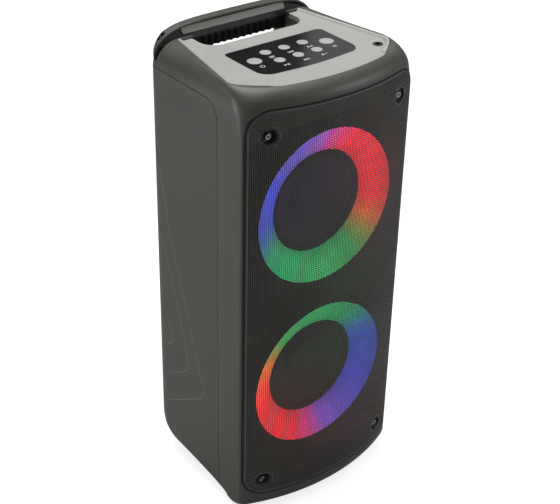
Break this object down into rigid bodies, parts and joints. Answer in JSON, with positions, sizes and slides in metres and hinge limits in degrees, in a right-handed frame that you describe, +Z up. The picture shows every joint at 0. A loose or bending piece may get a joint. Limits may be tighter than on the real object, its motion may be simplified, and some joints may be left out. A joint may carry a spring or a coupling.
{
  "type": "party speaker",
  "caption": "Tall portable party speaker with woofers and lit rings behind a bowed metal grille, a key pad on its deck and a carry handle across the rear.",
  "frame": {"origin": "bottom centre of the bounding box, on the underside of the rubber feet", "axes": "+Z up, +Y towards the rear of the speaker, +X to the right of a person facing its grille"},
  "size_m": [0.248, 0.225, 0.601],
  "materials": {
    "shell": "satin moulded plastic",
    "cabinet": "satin moulded plastic, fine grain",
    "black_plastic": "matte",
    "grille_metal": "satin powder coat",
    "black_rubber": "matte",
    "screw_steel": "bright zinc",
    "light_ring": "translucent milky diffuser, lit from behind",
    "led_board_white": "white solder mask",
    "basket_steel": "black coating",
    "black_screw": "black oxide",
    "cone_paper": "coated paper pulp",
    "copper": "enamelled copper",
    "spider_cloth": "phenolic cloth",
    "ferrite": "sintered ferrite",
    "zinc_steel": "zinc plated",
    "deck_grey": "satin light grey plastic",
    "gloss_black": "high gloss",
    "key_grey": "satin",
    "circuit_green": "solder mask",
    "inlay_grey": "satin",
    "heat_sink_aluminium": "extruded",
    "battery_wrap": "shrink wrap",
    "wadding": "polyester fibre",
    "cable_pvc": "PVC sheath",
    "ribbon_grey": "flat cable"
  },
  "bodies": {
    "cabinet": {"front_shell": "shell", "rear_cabinet": "cabinet", "baffle": "black_plastic", "grille": "grille_metal", "grille_trim": "black_rubber", "grille_screws": "screw_steel", "upper_light_ring": "light_ring", "lower_light_ring": "light_ring", "upper_led_board": "led_board_white", "lower_led_board": "led_board_white", "upper_basket": "basket_steel", "lower_basket": "basket_steel", "driver_gaskets": "black_rubber", "driver_screws": "black_screw", "upper_surround": "black_rubber", "lower_surround": "black_rubber", "upper_spider": "spider_cloth", "lower_spider": "spider_cloth", "upper_magnet": "ferrite", "lower_magnet": "ferrite", "upper_motor_steel": "zinc_steel", "lower_motor_steel": "zinc_steel", "top_panel": "deck_grey", "key_pad_overlay": "gloss_black", "control_board": "circuit_green", "key_switches": "black_plastic", "control_board_screws": "zinc_steel", "mic_jack": "black_plastic", "handle_liner": "black_rubber", "handle_inlay": "inlay_grey", "bass_port": "black_plastic", "main_board": "circuit_green", "heat_sink": "heat_sink_aluminium", "battery_pack": "battery_wrap", "battery_strap": "black_plastic", "jack_panel": "black_plastic", "dc_socket": "black_plastic", "aux_socket": "black_plastic", "usb_socket": "zinc_steel", "rubber_feet": "black_rubber", "foot_screws": "zinc_steel", "case_screws": "zinc_steel", "baffle_screws": "zinc_steel", "damping_pad": "wadding", "speaker_cables": "cable_pvc", "control_ribbon": "ribbon_grey"},
    "power_key_cap": {"power_key": "key_grey"},
    "light_key_cap": {"light_key": "key_grey"},
    "mode_key_cap": {"mode_key": "key_grey"},
    "previous_key_cap": {"previous_key": "key_grey"},
    "volume_up_key_cap": {"volume_up_key": "key_grey"},
    "play_key_cap": {"play_key": "key_grey"},
    "next_key_cap": {"next_key": "key_grey"},
    "volume_down_key_cap": {"volume_down_key": "key_grey"},
    "upper_diaphragm": {"upper_cone": "cone_paper", "upper_dust_cap": "cone_paper", "upper_voice_coil": "copper"},
    "lower_diaphragm": {"lower_cone": "cone_paper", "lower_dust_cap": "cone_paper", "lower_voice_coil": "copper"}
  },
  "joints": [
    {"name": "power_key_press", "type": "slide", "parent": "cabinet", "child": "power_key_cap", "axis": [0, 0, -1], "range_m": [0, 0.001], "stiffness_N_per_m": 400},
    {"name": "light_key_press", "type": "slide", "parent": "cabinet", "child": "light_key_cap", "axis": [0, 0, -1], "range_m": [0, 0.001], "stiffness_N_per_m": 400},
    {"name": "mode_key_press", "type": "slide", "parent": "cabinet", "child": "mode_key_cap", "axis": [0, 0, -1], "range_m": [0, 0.001], "stiffness_N_per_m": 400},
    {"name": "previous_key_press", "type": "slide", "parent": "cabinet", "child": "previous_key_cap", "axis": [0, 0, -1], "range_m": [0, 0.001], "stiffness_N_per_m": 400},
    {"name": "volume_up_key_press", "type": "slide", "parent": "cabinet", "child": "volume_up_key_cap", "axis": [0, 0, -1], "range_m": [0, 0.001], "stiffness_N_per_m": 400},
    {"name": "play_key_press", "type": "slide", "parent": "cabinet", "child": "play_key_cap", "axis": [0, 0, -1], "range_m": [0, 0.001], "stiffness_N_per_m": 400},
    {"name": "next_key_press", "type": "slide", "parent": "cabinet", "child": "next_key_cap", "axis": [0, 0, -1], "range_m": [0, 0.001], "stiffness_N_per_m": 400},
    {"name": "volume_down_key_press", "type": "slide", "parent": "cabinet", "child": "volume_down_key_cap", "axis": [0, 0, -1], "range_m": [0, 0.001], "stiffness_N_per_m": 400},
    {"name": "upper_cone_excursion", "type": "slide", "parent": "cabinet", "child": "upper_diaphragm", "axis": [0, -1, 0], "range_m": [-0.003, 0.003], "stiffness_N_per_m": 1500},
    {"name": "lower_cone_excursion", "type": "slide", "parent": "cabinet", "child": "lower_diaphragm", "axis": [0, -1, 0], "range_m": [-0.003, 0.003], "stiffness_N_per_m": 1500}
  ]
}
